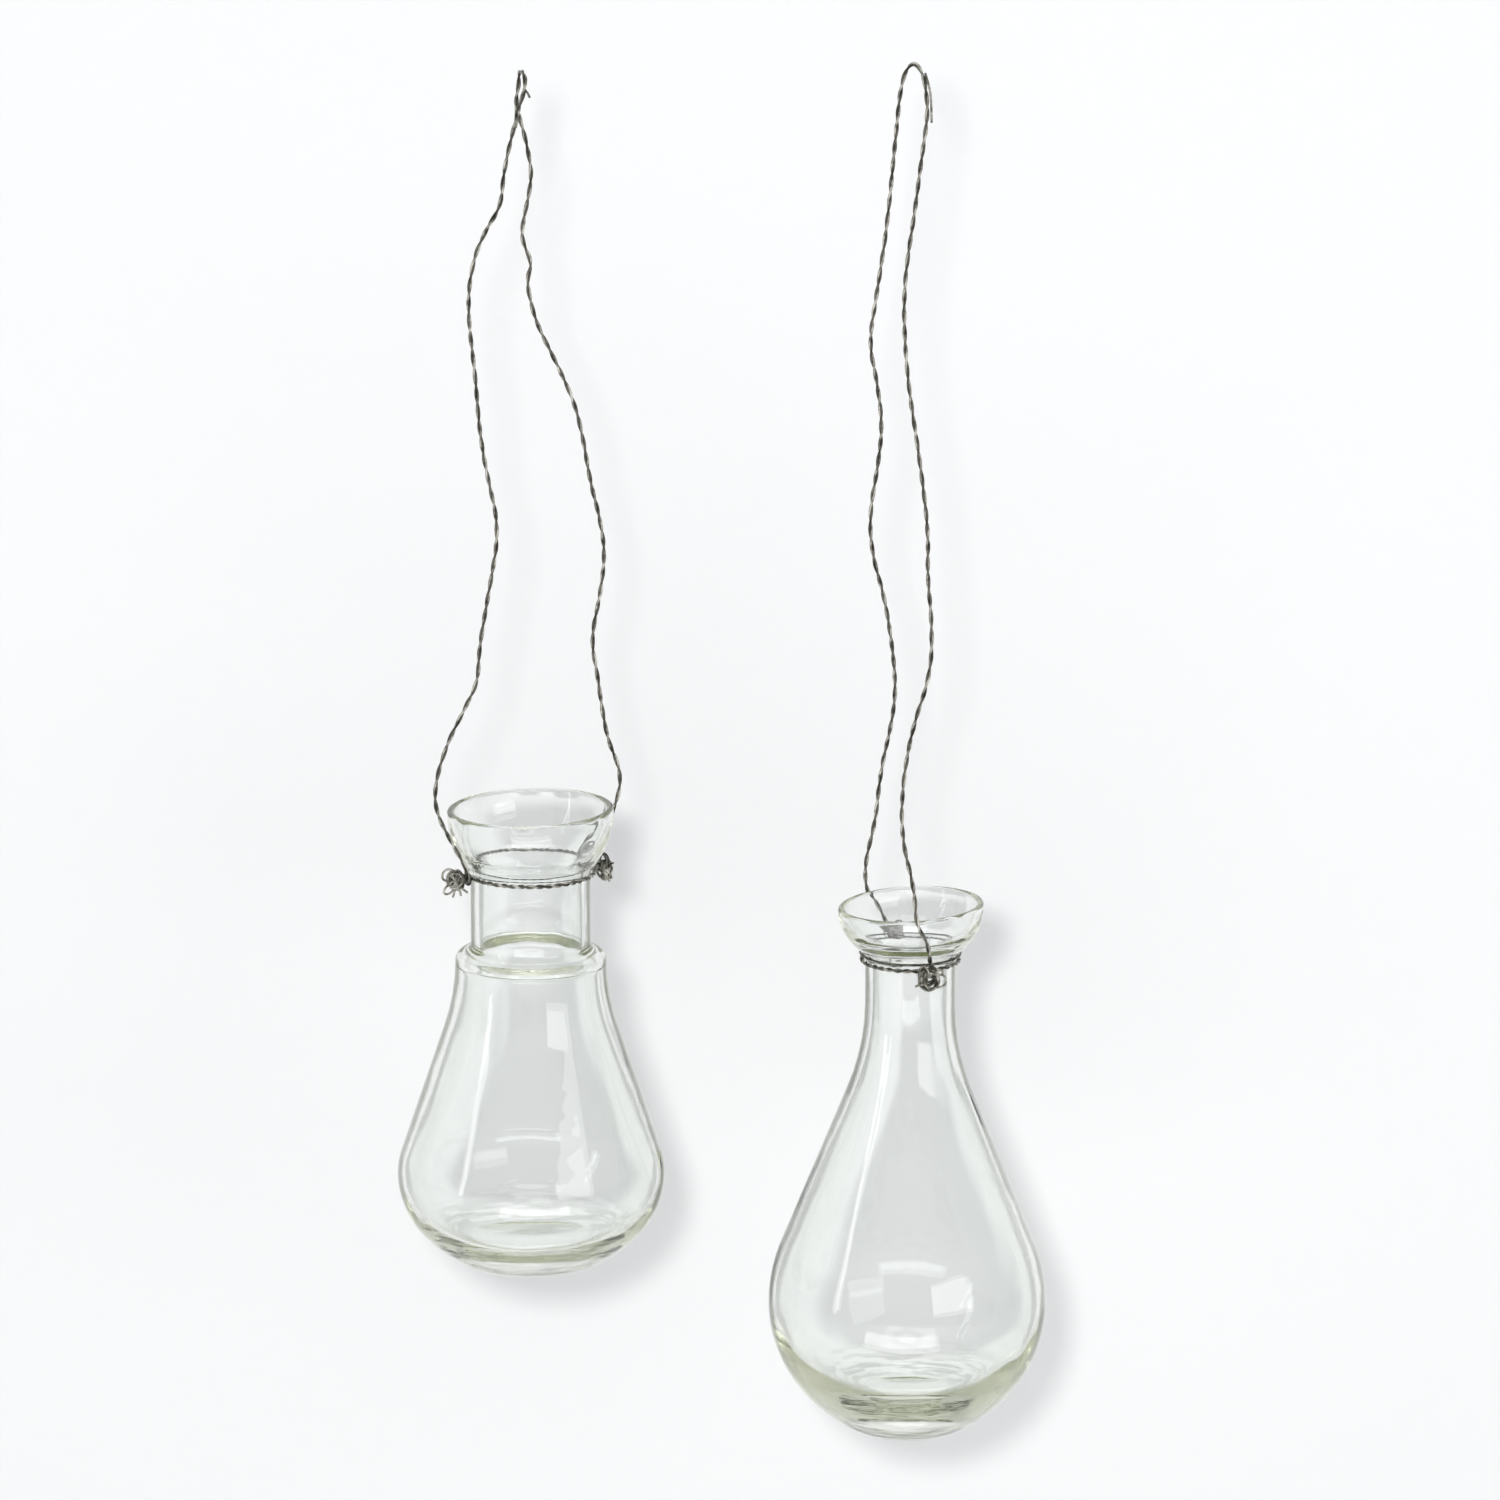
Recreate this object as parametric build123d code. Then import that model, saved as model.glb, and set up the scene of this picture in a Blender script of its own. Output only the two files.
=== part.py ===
"""Two hanging propagation vases of clear blown glass: a shouldered flask and a pear-shaped drop.

A collar of twisted steel wire sits under each cup. Its ends stand out as two pigtails, each wound up
into a knot, and the legs of a long twisted-wire hanger turn on the pigtails by their eyes.

Millimetres, +Z up. The origin is inside the crown of the flask hanger's hook, where it hangs on its
nail, and -Y is the front. Each vase is drawn about its own axis with Z = 0 on the line through its two
knots and X along that line, and is then turned and lowered into its place.
"""
import os
from math import asin, atan2, copysign, cos, degrees, hypot, pi, radians, sin, sqrt, tan

from build123d import *

# Wire
strand = 0.65  # one steel strand
wire = 2 * strand  # the two-strand twist
wire_sides = 6
running_clearance = 0.08  # eye to pigtail, all round
seat_clearance = 0.3  # wire to glass
side_clearance = 0.3  # along a pigtail, between collar, eye and knot
eye_wrap = 240.0  # degrees of pigtail that an eye holds
eye_rise = 1.5  # straight wire above an eye
leg_clearance = 1.2  # wire's centre to the lip, halfway up the cup
bend_share = 0.45  # of the shorter run, taken up by the arc at its end

# Knots
knot_turns = 3
knot_diameter = 6.2
knot_gap = 0.5  # between neighbouring turns
strand_sides = 5
direction_step = 0.001  # of a turn
gap_samples = 48  # to a turn

# Both glasses: the floor's side curve in shares of the hollow's depth below the belly
floor_curve_share = 0.85

# Flask glass: a bowl's shares are the place, down and across, where its two arcs meet
flask_lip_radius = 23.4
flask_lip = 2.0
flask_cup_height = 18.5
flask_throat_curve = 4.5
flask_collar_tuck = 1.2
flask_neck_radius = 16.9
flask_neck_length = 20.3
flask_shoulder_radius = 21.3
flask_shoulder_height = 5.4
flask_shoulder_curve = 2.6
flask_belly_radius = 37.9
flask_flank_height = 62.2
flask_flank_curve_shares = (0.48, 0.14)
flask_foot_radius = 19.6
flask_bowl_height = 25.4
flask_bowl_shares = (0.66, 0.36)
flask_wall = 2.3
flask_base = 3.2

# Drop glass
drop_lip_radius = 20.5
drop_lip = 1.9
drop_cup_height = 16.0
drop_throat_curve = 4.0
drop_collar_tuck = 0.3
drop_neck_radius = 12.7
drop_neck_length = 13.0
drop_belly_radius = 39.5
drop_flank_height = 88.0
drop_flank_curve_shares = (0.42, 0.28)
drop_foot_radius = 15.4
drop_bowl_height = 36.8
drop_bowl_shares = (0.60, 0.29)
drop_wall = 2.3
drop_base = 5.6
drop_tie_rise = 1.9  # the thin strand's height above the collar

# Hangers: height of the hook over the knots, width of the hook, reach of the legs past the lip
flask_hang = 225.5
flask_hook_width = 6.8
flask_hook_height = 8.8
flask_hook_twist_share = -0.22  # of half the hook's width
flask_hook_offset = -1.8  # sideways, from the vase's axis to its hook
flask_crossing_share = 0.42
flask_crossing_shift = -1.4
flask_reach = 3.2
flask_knot_turn = 28.0  # degrees from the X axis to the line through the knots
drop_hang = 250.5
drop_hook_width = 7.8
drop_hook_height = 9.5
drop_hook_rise = 3.3  # of the corner at its point over the top of the flask's hook
drop_hook_offset = -1.5
drop_haunch_shares = (0.66, 0.69)  # of half the hook's width and of its height
drop_reach = 1.8
drop_knot_turn = -75.0
drop_front_sway = -1.0  # of a leg to the side, beside the cup
drop_rear_sway = -3.2
vase_spacing = 107.0

# Legs, from the lip up: along the knot line and to its side in shares of lip radius and reach, then up
# in shares of the hook's height over the knots
flask_left_leg_shares = (
    (-1.10, 0.00, 0.090),
    (-1.09, 0.03, 0.125),
    (-0.94, 0.05, 0.172),
    (-0.76, 0.02, 0.212),
    (-0.60, -0.03, 0.250),
    (-0.60, -0.05, 0.290),
    (-0.47, -0.06, 0.368),
    (-0.33, -0.03, 0.440),
    (-0.45, 0.03, 0.512),
    (-0.51, 0.06, 0.566),
    (-0.55, 0.05, 0.630),
    (-0.66, 0.00, 0.716),
    (-0.62, -0.04, 0.772),
    (-0.47, -0.05, 0.812),
    (-0.27, -0.03, 0.840),
    (-0.22, 0.01, 0.880),
    (-0.13, -0.01, 0.925),
)
flask_right_leg_shares = (
    (1.07, 0.00, 0.088),
    (1.05, -0.03, 0.120),
    (0.91, -0.05, 0.155),
    (0.85, -0.03, 0.195),
    (0.82, 0.02, 0.242),
    (0.76, 0.05, 0.286),
    (0.88, 0.04, 0.345),
    (0.91, -0.01, 0.398),
    (0.82, -0.05, 0.446),
    (0.72, -0.06, 0.486),
    (0.66, -0.03, 0.538),
    (0.59, 0.02, 0.585),
    (0.40, 0.05, 0.636),
    (0.16, 0.05, 0.690),
    (0.07, 0.03, 0.726),
    (0.04, 0.01, 0.748),
    (0.09, -0.01, 0.767),
    (-0.03, -0.02, 0.795),
    (-0.03, -0.03, 0.815),
    (0.10, -0.01, 0.870),
    (0.08, 0.02, 0.900),
    (0.02, 0.02, 0.930),
)
drop_front_leg_shares = (
    (1.00, -0.22, 0.064),
    (0.97, -0.23, 0.104),
    (0.90, -0.38, 0.160),
    (0.85, -0.36, 0.220),
    (0.77, -0.21, 0.283),
    (0.71, 0.05, 0.343),
    (0.64, 0.08, 0.400),
    (0.59, 0.03, 0.452),
    (0.54, 0.06, 0.500),
    (0.44, -0.04, 0.587),
    (0.36, -0.16, 0.663),
    (0.29, -0.20, 0.735),
    (0.23, -0.16, 0.787),
    (0.16, -0.03, 0.847),
    (0.10, 0.08, 0.910),
    (0.05, 0.17, 0.955),
)
drop_rear_leg_shares = (
    (-1.00, -0.31, 0.060),
    (-0.97, -0.32, 0.094),
    (-0.92, -0.20, 0.140),
    (-0.87, -0.15, 0.200),
    (-0.78, 0.01, 0.272),
    (-0.73, 0.00, 0.320),
    (-0.65, -0.15, 0.400),
    (-0.58, -0.35, 0.455),
    (-0.53, -0.40, 0.503),
    (-0.48, -0.30, 0.560),
    (-0.43, -0.26, 0.607),
    (-0.37, -0.36, 0.660),
    (-0.33, -0.47, 0.700),
    (-0.26, -0.38, 0.760),
    (-0.19, -0.28, 0.830),
    (-0.10, -0.22, 0.910),
    (-0.05, -0.18, 0.960),
)


half_turn = Rot(0, 0, 180)


def s_bend(start, across, down, end_radius):
    """Two tangent arcs from one upright line to another, going down; the last arc has end_radius."""
    turn = 2 * atan2(abs(across), down)
    turned = copysign(degrees(turn), across)
    first = JernArc(start, (0, -1), down / sin(turn) - end_radius, turned)
    return JernArc(first @ 1, first % 1, end_radius, -turned)


def flank(start, end, curve_shares):
    """A blown side, upright at both ends: an arc out, a straight slope and an arc back.

    The two radii are shares of the sum of radii that would leave no straight slope.
    """
    across = end[0] - start[0]
    down = start[1] - end[1]
    largest = (across**2 + down**2) / (2 * across)
    first_radius, last_radius = [share * largest for share in curve_shares]
    both = first_radius + last_radius
    slope = asin(both / hypot(both - across, down)) - atan2(both - across, down)
    first = JernArc(start, (0, -1), first_radius, degrees(slope))
    straight = Line(first @ 1, first @ 1 + first % 1 * ((down - both * sin(slope)) / cos(slope)))
    JernArc(straight @ 1, first % 1, last_radius, -degrees(slope))


def bowl(start, end, shares):
    """The rounding from a belly, where it is upright, down to the edge of a foot, in two tangent arcs."""
    down_share, across_share = shares
    across = start[0] - end[0]
    down = start[1] - end[1]
    middle = (start[0] - across_share * across, start[1] - down_share * down)
    first = TangentArc(start, middle, tangent=(0, -1))
    TangentArc(middle, end, tangent=first % 1)


def dished_floor(start, depth):
    """The hollow's end, from upright at start to level on the axis, in a side curve and a flatter arc."""
    side_radius = floor_curve_share * depth
    reach = start[0] - side_radius
    floor_radius = (reach**2 + depth**2 - side_radius**2) / (2 * (depth - side_radius))
    turn = degrees(atan2(floor_radius - depth, reach))
    side = JernArc(start, (0, -1), side_radius, -turn)
    TangentArc(side @ 1, (0, start[1] - depth), tangent=side % 1)


def cup(radius, lip, height, neck_radius, wall, throat_curve, tuck):
    """The rounded lip and both faces of a cup; returns where the outer and inner faces reach the neck."""
    lip_height = height - lip / 2
    ThreePointArc((radius, lip_height), (radius - lip / 2, height), (radius - lip, lip_height))
    outer = s_bend((radius, lip_height), neck_radius - radius, lip_height + tuck, throat_curve)
    inner_drop = lip_height + tuck - wall / 2
    inner_across = neck_radius - wall - (radius - lip)
    inner = s_bend((radius - lip, lip_height), inner_across, inner_drop, throat_curve + wall)
    return outer @ 1, inner @ 1


def foot(belly, wall, base, foot_edge, bowl_shares):
    """The bowl, the flat foot and the dished floor inside, down from the belly's widest place."""
    radius, height = belly
    foot_radius, foot_height = foot_edge
    floor = foot_height + base
    bowl(belly, foot_edge, bowl_shares)
    Line(foot_edge, (0, foot_height))
    Line((0, foot_height), (0, floor))
    dished_floor((radius - wall, height), height - floor)


def flask_glass():
    neck_foot = -flask_neck_length
    shoulder_foot = neck_foot - flask_shoulder_height
    shoulder_step = flask_shoulder_radius - flask_neck_radius
    belly = (flask_belly_radius, shoulder_foot - flask_flank_height)
    inside_belly = (flask_belly_radius - flask_wall, belly[1])
    with BuildPart() as glass:
        with BuildSketch(Plane.XZ):
            with BuildLine():
                outer, inner = cup(
                    flask_lip_radius,
                    flask_lip,
                    flask_cup_height,
                    flask_neck_radius,
                    flask_wall,
                    flask_throat_curve,
                    flask_collar_tuck,
                )
                neck = Line(outer, (flask_neck_radius, neck_foot))
                shoulder = s_bend(neck @ 1, shoulder_step, flask_shoulder_height, flask_shoulder_curve)
                flank(tuple(shoulder @ 1), belly, flask_flank_curve_shares)
                bore = Line(inner, (flask_neck_radius - flask_wall, neck_foot - flask_wall))
                hollow = s_bend(bore @ 1, shoulder_step, flask_shoulder_height, flask_shoulder_curve)
                flank(tuple(hollow @ 1), inside_belly, flask_flank_curve_shares)
                foot_edge = (flask_foot_radius, belly[1] - flask_bowl_height)
                foot(belly, flask_wall, flask_base, foot_edge, flask_bowl_shares)
            make_face()
        revolve(axis=Axis.Z)
    return glass.part


def drop_glass():
    neck_foot = -drop_neck_length
    belly = (drop_belly_radius, neck_foot - drop_flank_height)
    inside_belly = (drop_belly_radius - drop_wall, belly[1])
    with BuildPart() as glass:
        with BuildSketch(Plane.XZ):
            with BuildLine():
                outer, inner = cup(
                    drop_lip_radius,
                    drop_lip,
                    drop_cup_height,
                    drop_neck_radius,
                    drop_wall,
                    drop_throat_curve,
                    drop_collar_tuck,
                )
                neck = Line(outer, (drop_neck_radius, neck_foot))
                flank(tuple(neck @ 1), belly, drop_flank_curve_shares)
                bore = Line(inner, (drop_neck_radius - drop_wall, neck_foot))
                flank(tuple(bore @ 1), inside_belly, drop_flank_curve_shares)
                foot_edge = (drop_foot_radius, belly[1] - drop_bowl_height)
                foot(belly, drop_wall, drop_base, foot_edge, drop_bowl_shares)
            make_face()
        revolve(axis=Axis.Z)
    return glass.part


def throat_ring_radius(neck_radius, throat_curve, tuck, thickness, rise):
    """Radius of a wire ring in the throat under a cup, clear of the glass by the seat clearance."""
    room = throat_curve - thickness / 2 - seat_clearance
    return neck_radius + throat_curve - sqrt(room**2 - (tuck + rise) ** 2)


def knot_start(collar_radius):
    return eye_place(collar_radius) + wire / 2 + side_clearance + strand / 2


def eye_place(collar_radius):
    return collar_radius + wire / 2 + side_clearance + wire / 2


def knot_length():
    return knot_turns * (strand + knot_gap)


def ring(radius, thickness):
    """A closed turn of wire about Z."""
    section = Plane.XZ * Pos(radius, 0) * RegularPolygon(thickness / 2, wire_sides)
    return revolve(section, axis=Axis.Z)


def collar(radius):
    """A ring of twisted wire with a pigtail on each side, long enough to pass through eye and knot."""
    reach = knot_start(radius) + knot_length() + strand
    pigtail = Plane.YZ * Cylinder(wire / 2, reach - radius, align=(Align.CENTER, Align.CENTER, Align.MIN))
    right = Pos(radius, 0, 0) * pigtail
    return ring(radius, wire) + right + half_turn * right


def biarc(start, start_direction, end, end_direction):
    """Two tangent arcs in space that join two points with given directions."""
    chord = end - start
    both = start_direction + end_direction
    spare = 2 * (1 - start_direction.dot(end_direction))
    along = chord.dot(both)
    reach = (sqrt(along**2 + spare * chord.dot(chord)) - along) / spare
    middle = (start + start_direction * reach + end - end_direction * reach) / 2
    first = TangentArc(start, middle, tangent=start_direction)
    return first, TangentArc(middle, end, tangent=first % 1)


def knot_point(turn):
    """A point of the knot's winding: a coil about X that swells from the pigtail to its full diameter."""
    share = turn / knot_turns
    end_radius = wire / 2 + running_clearance + strand / 2
    radius = end_radius + (knot_diameter / 2 - strand / 2 - end_radius) * sin(pi * share)
    return Vector(share * knot_length(), radius * cos(2 * pi * turn), radius * sin(2 * pi * turn))


def knot_direction(turn):
    return (knot_point(turn + direction_step) - knot_point(turn - direction_step)).normalized()


def knot(collar_radius):
    """A ball of single strand wound on a pigtail, with a short straight tail at each end."""
    quarters = [count / 4 for count in range(4 * knot_turns + 1)]
    points = [knot_point(turn) for turn in quarters]
    directions = [knot_direction(turn) for turn in quarters]
    edges = [Line(points[0] - directions[0] * strand, points[0])]
    for index in range(len(points) - 1):
        edges += biarc(points[index], directions[index], points[index + 1], directions[index + 1])
    edges.append(Line(points[-1], points[-1] + directions[-1] * strand))
    path = Wire(edges)
    section = Plane(path @ 0, z_dir=path % 0) * RegularPolygon(strand / 2, strand_sides)
    return Pos(knot_start(collar_radius), 0, 0) * sweep(section, path=path)


def knot_least_gap():
    """Least gap between turns of a knot, on points along its winding."""
    places = [count / gap_samples for count in range(gap_samples * knot_turns + 1)]
    gaps = [
        (knot_point(near) - knot_point(far)).length - strand
        for near in places
        for far in places
        if far - near > 1 / 2
    ]
    return min(gaps)


def bend_radii(points):
    """The largest arc that each corner's two runs leave room for."""
    radii = []
    for before, corner, after in zip(points, points[1:], points[2:]):
        arriving = Vector(corner) - Vector(before)
        leaving = Vector(after) - Vector(corner)
        half_angle = radians(arriving.get_angle(leaving) / 2)
        radii.append(bend_share * min(arriving.length, leaving.length) / tan(half_angle))
    return radii


def own_axes(offset, turn):
    """A sideways offset in the axes of a vase that is turned so many degrees."""
    return offset * cos(radians(turn)), -offset * sin(radians(turn))


def leg(side, eye_x, eye_y, sway, lean, lip_radius, reach, cup_height, hang, shares):
    """A leg's corners from its eye up: straight above the eye, out past the cup, then along its route."""
    spread = lip_radius + reach
    lean_x, lean_y = lean
    foot_points = [
        (side * eye_x, eye_y, 0),
        (side * eye_x, eye_y, eye_rise),
        (side * (lip_radius + leg_clearance), sway, cup_height / 2 + eye_rise),
    ]
    route_points = [
        (along * spread + up * lean_x, aside * spread + up * lean_y, up * hang)
        for along, aside, up in shares
    ]
    return foot_points + route_points


def eye(start):
    """The arc of a leg's end round its pigtail, from the leg's foot."""
    x, radius, height = start
    turns = [radians(step * eye_wrap / 2) for step in range(3)]
    return ThreePointArc(*[(x, radius * cos(turn), height - abs(radius) * sin(turn)) for turn in turns])


def hanger(name, first_leg, crown, second_leg):
    """One length of twisted wire: up the first leg, over the hook and down the second."""
    corners = first_leg + crown + second_leg[::-1]
    radii = bend_radii(corners)
    run = FilletPolyline(*corners, radius=radii)
    path = Wire([eye(first_leg[0]), *run.edges(), eye(second_leg[0])])
    section = Plane(path @ 0, z_dir=path % 0) * RegularPolygon(wire / 2, wire_sides)
    tube = sweep(section, path=path)
    filled = tube.volume / (section.area * path.length)
    print(f"{name}: wire length {path.length:.1f} mm, volume share {filled:.4f}")
    print(f"{name}: bend radii", ", ".join(f"{radius:.1f}" for radius in radii))
    return tube


def flask_hanger(collar_radius):
    eye_x = eye_place(collar_radius)
    eye_y = wire + running_clearance
    lean = own_axes(flask_hook_offset, flask_knot_turn)
    sizes = (lean, flask_lip_radius, flask_reach, flask_cup_height, flask_hang)
    left = leg(-1, eye_x, -eye_y, -eye_y / 2, *sizes, flask_left_leg_shares)
    right = leg(1, eye_x, eye_y, eye_y / 2, *sizes, flask_right_leg_shares)
    half = flask_hook_width / 2
    crown_height = flask_hang + wire / 2
    crossing = crown_height - flask_hook_height
    middle = crown_height - flask_hook_height / 2
    twist = flask_hook_twist_share * half
    apart = flask_crossing_share * half
    loop = [
        (flask_crossing_shift, -apart, crossing),
        (twist, -half, middle),
        (twist, -half, crown_height),
        (-twist, half, crown_height),
        (-twist, half, middle),
        (flask_crossing_shift, apart, crossing),
    ]
    crown = [Vector(*lean, 0) + Vector(*corner) for corner in loop]
    return hanger("flask_hanger", left, crown, right)


def drop_hanger(collar_radius):
    eye_x = eye_place(collar_radius)
    eye_y = wire + running_clearance
    lean = own_axes(drop_hook_offset, drop_knot_turn)
    sizes = (lean, drop_lip_radius, drop_reach, drop_cup_height, drop_hang)
    front = leg(1, eye_x, eye_y, drop_front_sway, *sizes, drop_front_leg_shares)
    rear = leg(-1, eye_x, -eye_y, drop_rear_sway, *sizes, drop_rear_leg_shares)
    half = drop_hook_width / 2
    point = drop_hang + wire / 2 + drop_hook_rise
    foot = point - drop_hook_height
    across_share, up_share = drop_haunch_shares
    haunch = foot + up_share * drop_hook_height
    arch = [
        (0, half, foot),
        (0, across_share * half, haunch),
        (0, 0, point),
        (0, -across_share * half, haunch),
        (0, -half, foot),
    ]
    crown = [Vector(*lean, 0) + Vector(*corner) for corner in arch]
    return hanger("drop_hanger", front, crown, rear)


flask_collar_radius = throat_ring_radius(
    flask_neck_radius, flask_throat_curve, flask_collar_tuck, wire, 0
)
drop_collar_radius = throat_ring_radius(drop_neck_radius, drop_throat_curve, drop_collar_tuck, wire, 0)
drop_tie_radius = throat_ring_radius(
    drop_neck_radius, drop_throat_curve, drop_collar_tuck, strand, drop_tie_rise
)
flask_place = Location((-flask_hook_offset, 0, -flask_hang), (0, 0, flask_knot_turn))
drop_place = Location((vase_spacing - flask_hook_offset, 0, -drop_hang), (0, 0, drop_knot_turn))

pieces = {
    "flask_glass": flask_place * flask_glass(),
    "flask_collar": flask_place * collar(flask_collar_radius),
    "flask_knot_right": flask_place * knot(flask_collar_radius),
    "flask_knot_left": flask_place * half_turn * knot(flask_collar_radius),
    "flask_hanger": flask_place * flask_hanger(flask_collar_radius),
    "drop_glass": drop_place * drop_glass(),
    "drop_collar": drop_place * collar(drop_collar_radius),
    "drop_collar_strand": drop_place * Pos(0, 0, drop_tie_rise) * ring(drop_tie_radius, strand),
    "drop_knot_front": drop_place * knot(drop_collar_radius),
    "drop_knot_rear": drop_place * half_turn * knot(drop_collar_radius),
    "drop_hanger": drop_place * drop_hanger(drop_collar_radius),
}

print(f"knots: least gap between turns {knot_least_gap():.2f} mm")
os.makedirs("parts", exist_ok=True)
for node, shape in pieces.items():
    export_step(shape, f"parts/{node}.step")
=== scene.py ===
"""Two hanging vases of blown glass, with their twisted-wire collars, knots and hangers, ready to render.

Metres, in the model's own frame: the origin is inside the crown of the flask hanger's hook, +Z is up and
-Y is the front. Each vase is drawn about its own axis, with Z = 0 on the line through its two knots and X
along that line, and is then turned and lowered into its place.
"""
from math import asin, atan2, ceil, copysign, cos, hypot, pi, radians, sin, sqrt, tau
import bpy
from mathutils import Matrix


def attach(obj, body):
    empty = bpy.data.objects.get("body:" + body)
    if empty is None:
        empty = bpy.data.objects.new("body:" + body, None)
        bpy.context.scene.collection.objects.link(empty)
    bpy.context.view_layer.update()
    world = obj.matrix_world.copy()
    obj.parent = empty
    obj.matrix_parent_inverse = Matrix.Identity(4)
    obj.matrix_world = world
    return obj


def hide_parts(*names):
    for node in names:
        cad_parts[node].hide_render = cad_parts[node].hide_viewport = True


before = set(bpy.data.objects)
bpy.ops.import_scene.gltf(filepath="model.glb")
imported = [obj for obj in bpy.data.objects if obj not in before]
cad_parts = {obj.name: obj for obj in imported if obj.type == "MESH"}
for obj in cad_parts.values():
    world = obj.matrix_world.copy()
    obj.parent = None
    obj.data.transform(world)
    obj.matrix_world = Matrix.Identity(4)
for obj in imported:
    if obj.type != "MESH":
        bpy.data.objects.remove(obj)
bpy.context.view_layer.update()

from types import SimpleNamespace

import bmesh
import bpy
from mathutils import Matrix, Vector, noise

# Wire
strand = 0.00065
wire = 2 * strand
lay = 0.0100  # along the wire, for one full turn of its two strands
collar_lay = 0.0050
lay_spread = 0.16  # how unevenly it was twisted
lay_patch = 3  # lays, over which the unevenness changes
# Painted light: one strand of each twisted wire is painted darker as shade, the other lighter as highlight.
strand_highlight_and_shade = (0.80, 1.20)  # of a twisted wire's two strands
running_clearance = 0.00008
seat_clearance = 0.0003
side_clearance = 0.0003
eye_wrap = radians(240)
eye_step = radians(40)
eye_rise = 0.0015
leg_clearance = 0.0012
tube_sides = 10
route_steps = 24  # from one corner of a route to the next
ring_steps = 360
tie_steps = 180
pigtail_steps = 40

# Knots
knot_turns = 3
knot_gap = 0.0005
knot_radius = 0.0031
knot_steps = 40  # to a turn
knot_shift = 0.0008  # of the thrown turns, outwards from the core's middle
knot_squash = 0.80  # of the thrown turns, along the pigtail
knot_loops = 6
throw_step = 0.37  # of a full turn about the pigtail, from one thrown turn to the next
throw_sway = 0.45
throw_sway_rate = 2.3
throw_reach = 0.84  # in shares of the knot's radius
throw_spread = 0.30
throw_spread_rate = 1.3

# Glass
floor_curve_share = 0.85
arc_step = radians(5)
line_step = 0.0012
segments = 160
roundness = 0.0035  # uneven, in shares of the radius
roundness_scale = 1.3
ripple = 0.00010  # of the wall
ripple_scale = 4
# Painted shade: the dark edge lines and the dark line along the foot are dark colour painted into the glass
# where it turns edge on, in place of the shade that glass shows there.
line_upright = (0.84, 0.94)  # how upright a wall is where its dark edge line starts and is full
line_width = 0.0017
line_wander = 0.16  # how unevenly the line starts
line_end = 1.08  # how far the glass has turned edge on where the line's ramp ends
cup_line = 0.35  # strength of the line in the cup
inner_line = 0.75  # and on the inside
foot_depth = 0.93  # where the dark line along the foot starts, down from the belly
foot_line = 0.70
foot_start = 0.35
# The base's streaks are bumps, as the real glass's uneven striae, and dark streaks painted into its colour as
# painted shade.
streak_depths = (0.60, 0.90)  # where the base's streaks start and are full, down from the belly
wave_scale = (26, 26, 96)
streak_scale = (90, 90, 760)
patch_scale = (420, 420, 420)  # of the wire's worn patches

flask = SimpleNamespace(
    name="flask",
    seed=3,
    lip_radius=0.0234,
    lip=0.0020,
    cup_height=0.0185,
    throat_curve=0.0045,
    collar_tuck=0.0012,
    neck_radius=0.0169,
    neck_length=0.0203,
    shoulder_radius=0.0213,
    shoulder_height=0.0054,
    shoulder_curve=0.0026,
    belly_radius=0.0379,
    flank_height=0.0622,
    flank_curve_shares=(0.48, 0.14),
    foot_radius=0.0196,
    bowl_height=0.0254,
    bowl_shares=(0.66, 0.36),
    wall=0.0023,
    base=0.0032,
    rim_tilt=radians(1.6),
    hang=0.2255,
    hook_width=0.0068,
    hook_height=0.0088,
    hook_twist_share=-0.22,
    hook_offset=-0.0018,
    crossing_share=0.42,
    crossing_shift=-0.0014,
    reach=0.0032,
    knot_turn=radians(28),
    place_x=0.0018,
    throw_tilt=radians(32),
    # Ears and tails of a knot: outwards, aside and up, in shares of its radius
    knot_bends=(
        ((0.0, 0.3, 0.6), (0.5, 0.5, 1.3), (1.5, 0.5, 1.2), (1.5, 0.4, 0.1), (0.5, 0.2, 0.1)),
        ((0.4, 0.5, 0.1), (1.2, 0.6, -0.2), (1.5, 0.5, -1.0), (0.6, 0.4, -1.1), (0.1, 0.2, -0.5)),
        ((0.2, 0.3, -0.5), (0.3, 0.6, -0.9), (0.6, 0.7, -1.35)),
        ((0.1, 0.5, -0.4), (-0.2, 0.8, -0.9), (-0.1, 0.9, -1.25)),
        ((0.0, 0.5, -0.4), (-0.4, 0.9, -0.7), (-0.75, 1.0, -1.0)),
    ),
    far_knot_bends=(
        ((0.1, 0.3, -0.4), (0.5, 0.5, -0.8), (0.7, 0.5, -1.2)),
        ((0.0, -0.3, 0.4), (0.4, -0.6, 0.8), (0.3, -1.0, 0.9)),
    ),
    knot_sags=(0.0, 0.0026),  # of the thrown turns, at the near knot and the far one
    # Loose ends of strand at the hook: along, aside and up from its crown
    hook_ends=(
        ((-0.0014, -0.0014, -0.0085), (-0.0019, -0.0017, -0.0112), (-0.0029, -0.0019, -0.0145)),
        ((-0.0010, 0.0019, -0.0082), (-0.0008, 0.0021, -0.0105), (-0.0009, 0.0023, -0.0130)),
        ((0.0007, -0.0034, -0.0062), (0.0003, -0.0030, -0.0045), (-0.0008, -0.0022, -0.0035)),
    ),
)
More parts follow.
